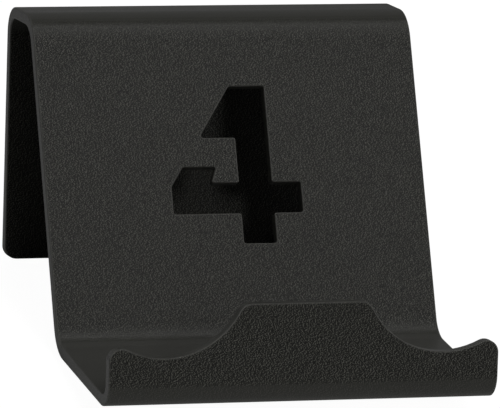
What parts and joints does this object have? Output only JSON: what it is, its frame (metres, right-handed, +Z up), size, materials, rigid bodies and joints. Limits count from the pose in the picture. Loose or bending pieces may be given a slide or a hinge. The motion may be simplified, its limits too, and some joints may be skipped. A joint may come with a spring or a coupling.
{
  "type": "table number holder",
  "caption": "Table number holder folded from one steel sheet: a leaning front plate with a stencil numeral, a tray with a scalloped lip in front and a rear leg.",
  "frame": {"origin": "on the table plane at mid width, straight below the axis of the bend between the tray and the front plate", "axes": "+X to the right as the numeral is read, +Y to the back, away from the reader, +Z up from the table"},
  "size_m": [0.1, 0.1192, 0.0697],
  "materials": {
    "coated_steel": "fine-textured black powder coat, satin to matt",
    "foot_rubber": "matt black rubber"
  },
  "bodies": {
    "root": {"folded_sheet": "coated_steel", "tray_bumper_left": "foot_rubber", "tray_bumper_right": "foot_rubber", "leg_foot_left": "foot_rubber", "leg_foot_right": "foot_rubber"}
  },
  "joints": []
}
